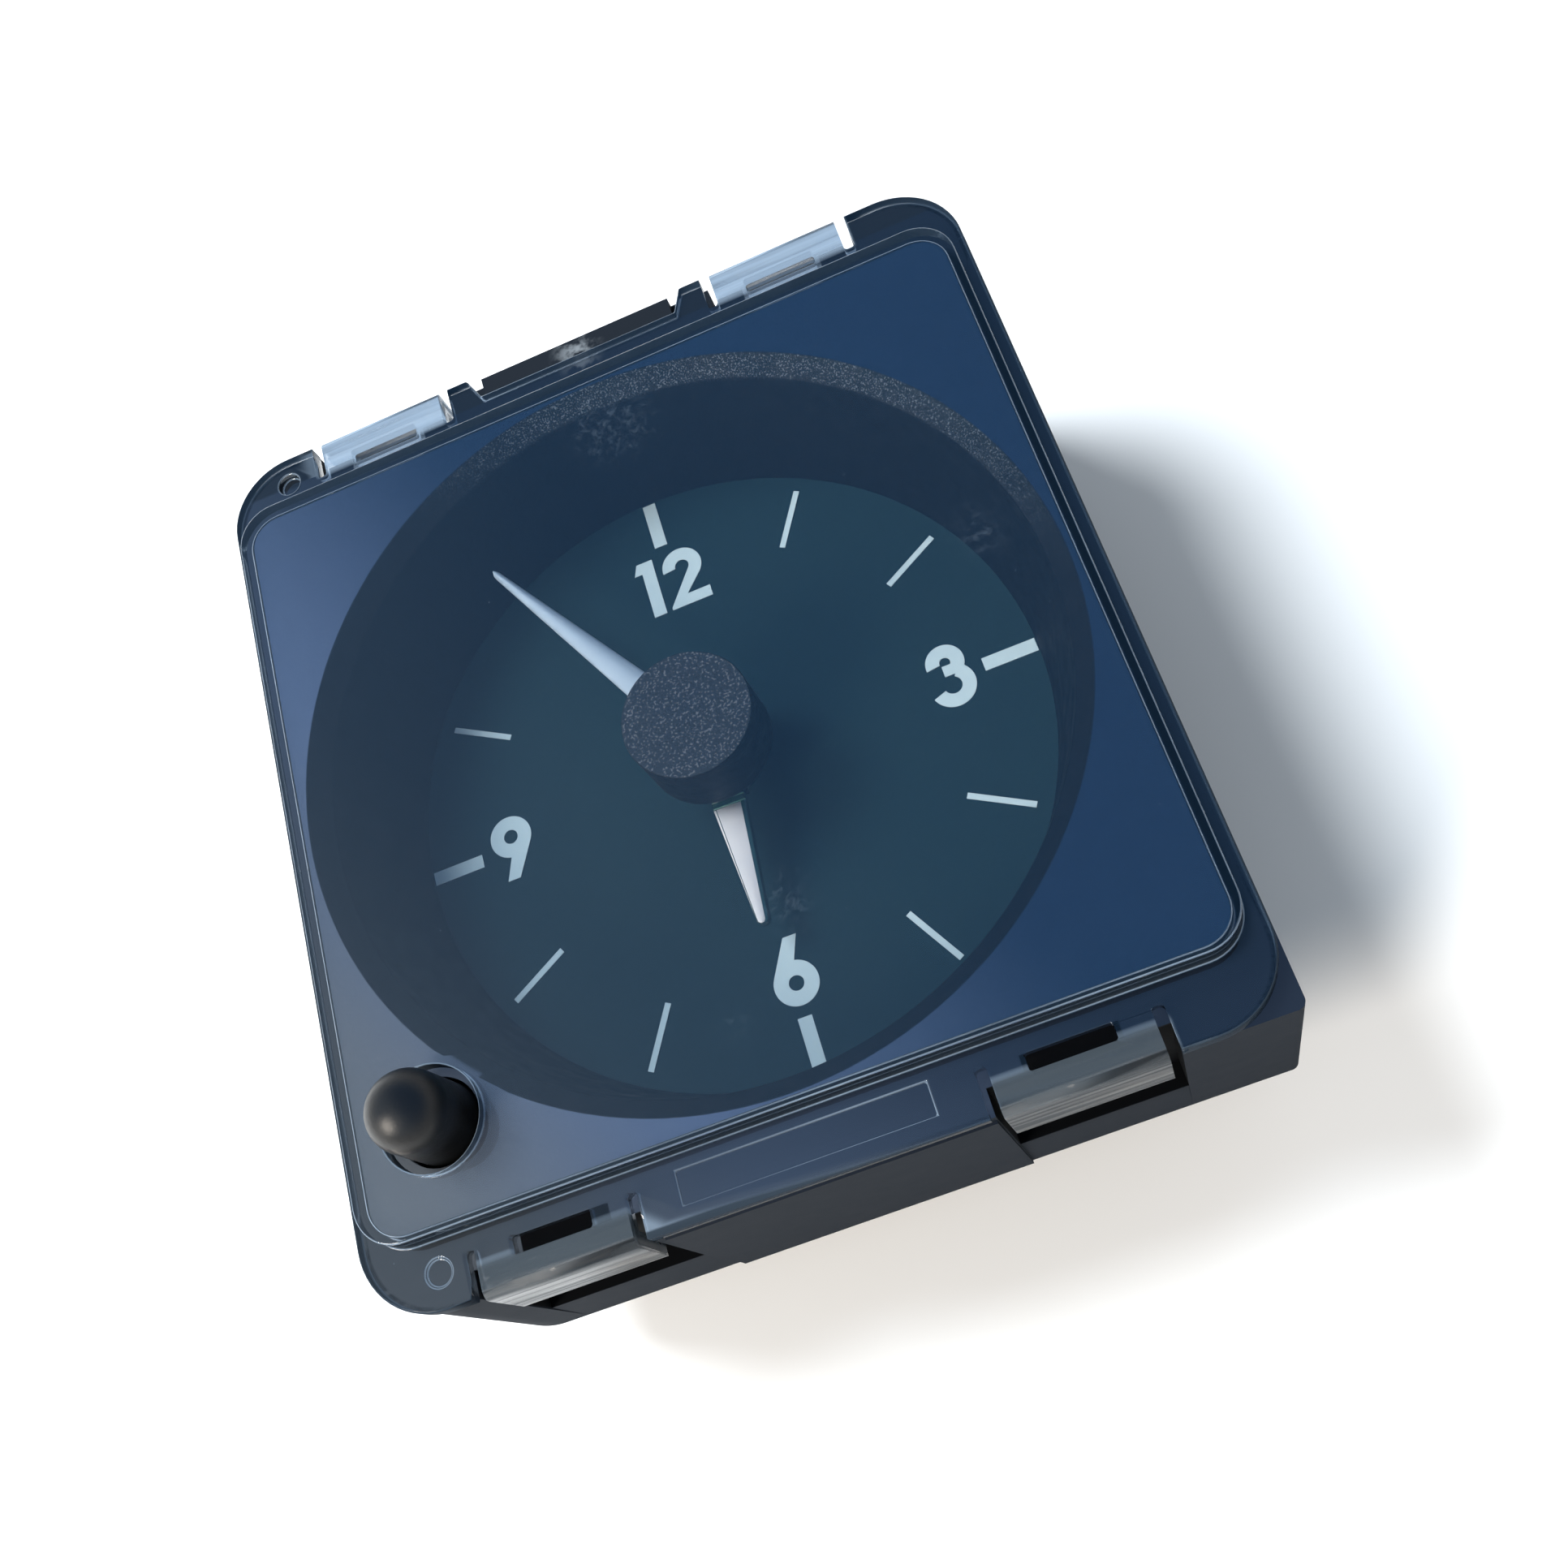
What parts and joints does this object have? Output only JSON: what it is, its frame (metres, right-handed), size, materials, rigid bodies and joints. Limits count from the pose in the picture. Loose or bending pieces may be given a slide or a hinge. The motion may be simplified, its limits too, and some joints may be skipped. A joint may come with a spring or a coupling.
{
  "type": "dashboard clock module",
  "caption": "Square dashboard analogue clock module with clear clip-on lens, sunken round dial, quartz movement behind it and a push-and-turn setting knob at one corner.",
  "frame": {"origin": "on the axis of the dial, in the plane of the four rear mounting post ends", "axes": "+Z out of the dial towards the viewer, +Y towards 12 o'clock, +X towards 3 o'clock"},
  "size_m": [0.0804, 0.0898, 0.0496],
  "materials": {
    "case_plastic": "fine-grained black ABS",
    "lens_clear": "clear glossy acrylic",
    "mask_plastic": "satin black, fine grain",
    "dial_ground": "blue-grey translucent film",
    "dial_print": "printed, pale grey",
    "guide_milky": "polished light guide",
    "cover_plastic": "moulded black ABS",
    "screw_steel": "zinc plated",
    "brass": "machined",
    "bulb_glass": "clear bulb",
    "board_green": "solder mask",
    "can_metal": "drawn can",
    "chip_black": "moulded",
    "sleeve_blue": "shrink sleeve",
    "resistor_tan": "lacquered",
    "plate_metal": "blackened steel sheet",
    "soft_iron": "stamped sheet",
    "bobbin_ivory": "moulded",
    "copper_wire": "enamelled copper wire",
    "shaft_steel": "polished",
    "acetal": "natural acetal",
    "magnet": "sintered",
    "hand_print": "white-backed clear hand",
    "hub_plastic": "fine grain",
    "knob_plastic": "satin black",
    "disc_rubber": "moulded"
  },
  "bodies": {
    "case": {"housing": "case_plastic", "lens": "lens_clear", "mask": "mask_plastic", "dial": "dial_ground", "dial_markings": "dial_print", "light_guide": "guide_milky", "rear_cover": "cover_plastic", "cover_screws": "screw_steel", "mount_inserts": "brass", "bulb_holders": "cover_plastic", "bulbs": "bulb_glass", "connector_shroud": "cover_plastic", "terminals": "brass", "circuit_board": "board_green", "quartz_crystal": "can_metal", "clock_ic": "chip_black", "capacitor": "sleeve_blue", "resistors": "resistor_tan", "board_pillars": "brass", "board_screws": "screw_steel", "front_plate": "plate_metal", "front_plate_screws": "screw_steel", "rear_plate": "plate_metal", "plate_pillars": "brass", "plate_screws": "screw_steel", "stator": "soft_iron", "coil_core": "soft_iron", "coil_bobbin": "bobbin_ivory", "coil_winding": "copper_wire", "centre_bush": "brass", "motion_stud": "shaft_steel", "idler_stud": "shaft_steel", "knob_bush": "acetal", "knob_spring": "shaft_steel"},
    "minute_arbor": {"minute_shaft": "shaft_steel", "centre_wheel": "brass", "cannon_pinion": "brass", "minute_hand": "hand_print", "hub_cap": "hub_plastic"},
    "hour_arbor": {"hour_wheel": "brass", "hour_hub": "hub_plastic", "hour_hand": "hand_print"},
    "motion_arbor": {"motion_wheel": "acetal"},
    "idler_arbor": {"setting_idler": "acetal"},
    "third_arbor": {"third_wheel": "brass"},
    "rotor": {"rotor_pinion": "shaft_steel", "rotor_magnet": "magnet"},
    "knob_slider": {"spring_seat": "screw_steel"},
    "knob_turner": {"set_knob": "knob_plastic", "knob_shaft": "acetal", "knob_clip": "screw_steel", "friction_disc": "disc_rubber"}
  },
  "joints": [
    {"name": "minute_turn", "type": "hinge", "parent": "case", "child": "minute_arbor", "pos_m": [0, 0, 0.02], "axis": [0, 0, -1], "continuous": true},
    {"name": "hour_turn", "type": "hinge", "parent": "case", "child": "hour_arbor", "pos_m": [0, 0, 0.02], "axis": [0, 0, -1], "continuous": true},
    {"name": "motion_turn", "type": "hinge", "parent": "case", "child": "motion_arbor", "pos_m": [-0.00695, -0.00663, 0.02], "axis": [0, 0, -1], "continuous": true},
    {"name": "idler_turn", "type": "hinge", "parent": "case", "child": "idler_arbor", "pos_m": [-0.02026, -0.01933, 0.02], "axis": [0, 0, -1], "continuous": true},
    {"name": "third_turn", "type": "hinge", "parent": "case", "child": "third_arbor", "pos_m": [0.0051, 0.00883, 0.02], "axis": [0, 0, -1], "continuous": true},
    {"name": "rotor_turn", "type": "hinge", "parent": "case", "child": "rotor", "pos_m": [0.0141, 0.00883, 0.02], "axis": [0, 0, -1], "continuous": true},
    {"name": "knob_push", "type": "slide", "parent": "case", "child": "knob_slider", "axis": [0, 0, -1], "range_m": [0, 0.002], "stiffness_N_per_m": 400, "springref_m": -0.0015, "deforming": ["knob_spring"]},
    {"name": "knob_turn", "type": "hinge", "parent": "knob_slider", "child": "knob_turner", "pos_m": [-0.0303, -0.0289, 0.04], "axis": [0, 0, -1], "continuous": true}
  ],
  "couplings": [
    {"joint": "hour_turn", "follows": "minute_turn", "ratio": 0.083333},
    {"joint": "motion_turn", "follows": "minute_turn", "ratio": -0.33333},
    {"joint": "idler_turn", "follows": "minute_turn", "ratio": 0.21429},
    {"joint": "third_turn", "follows": "minute_turn", "ratio": -7.5},
    {"joint": "rotor_turn", "follows": "minute_turn", "ratio": 60}
  ]
}
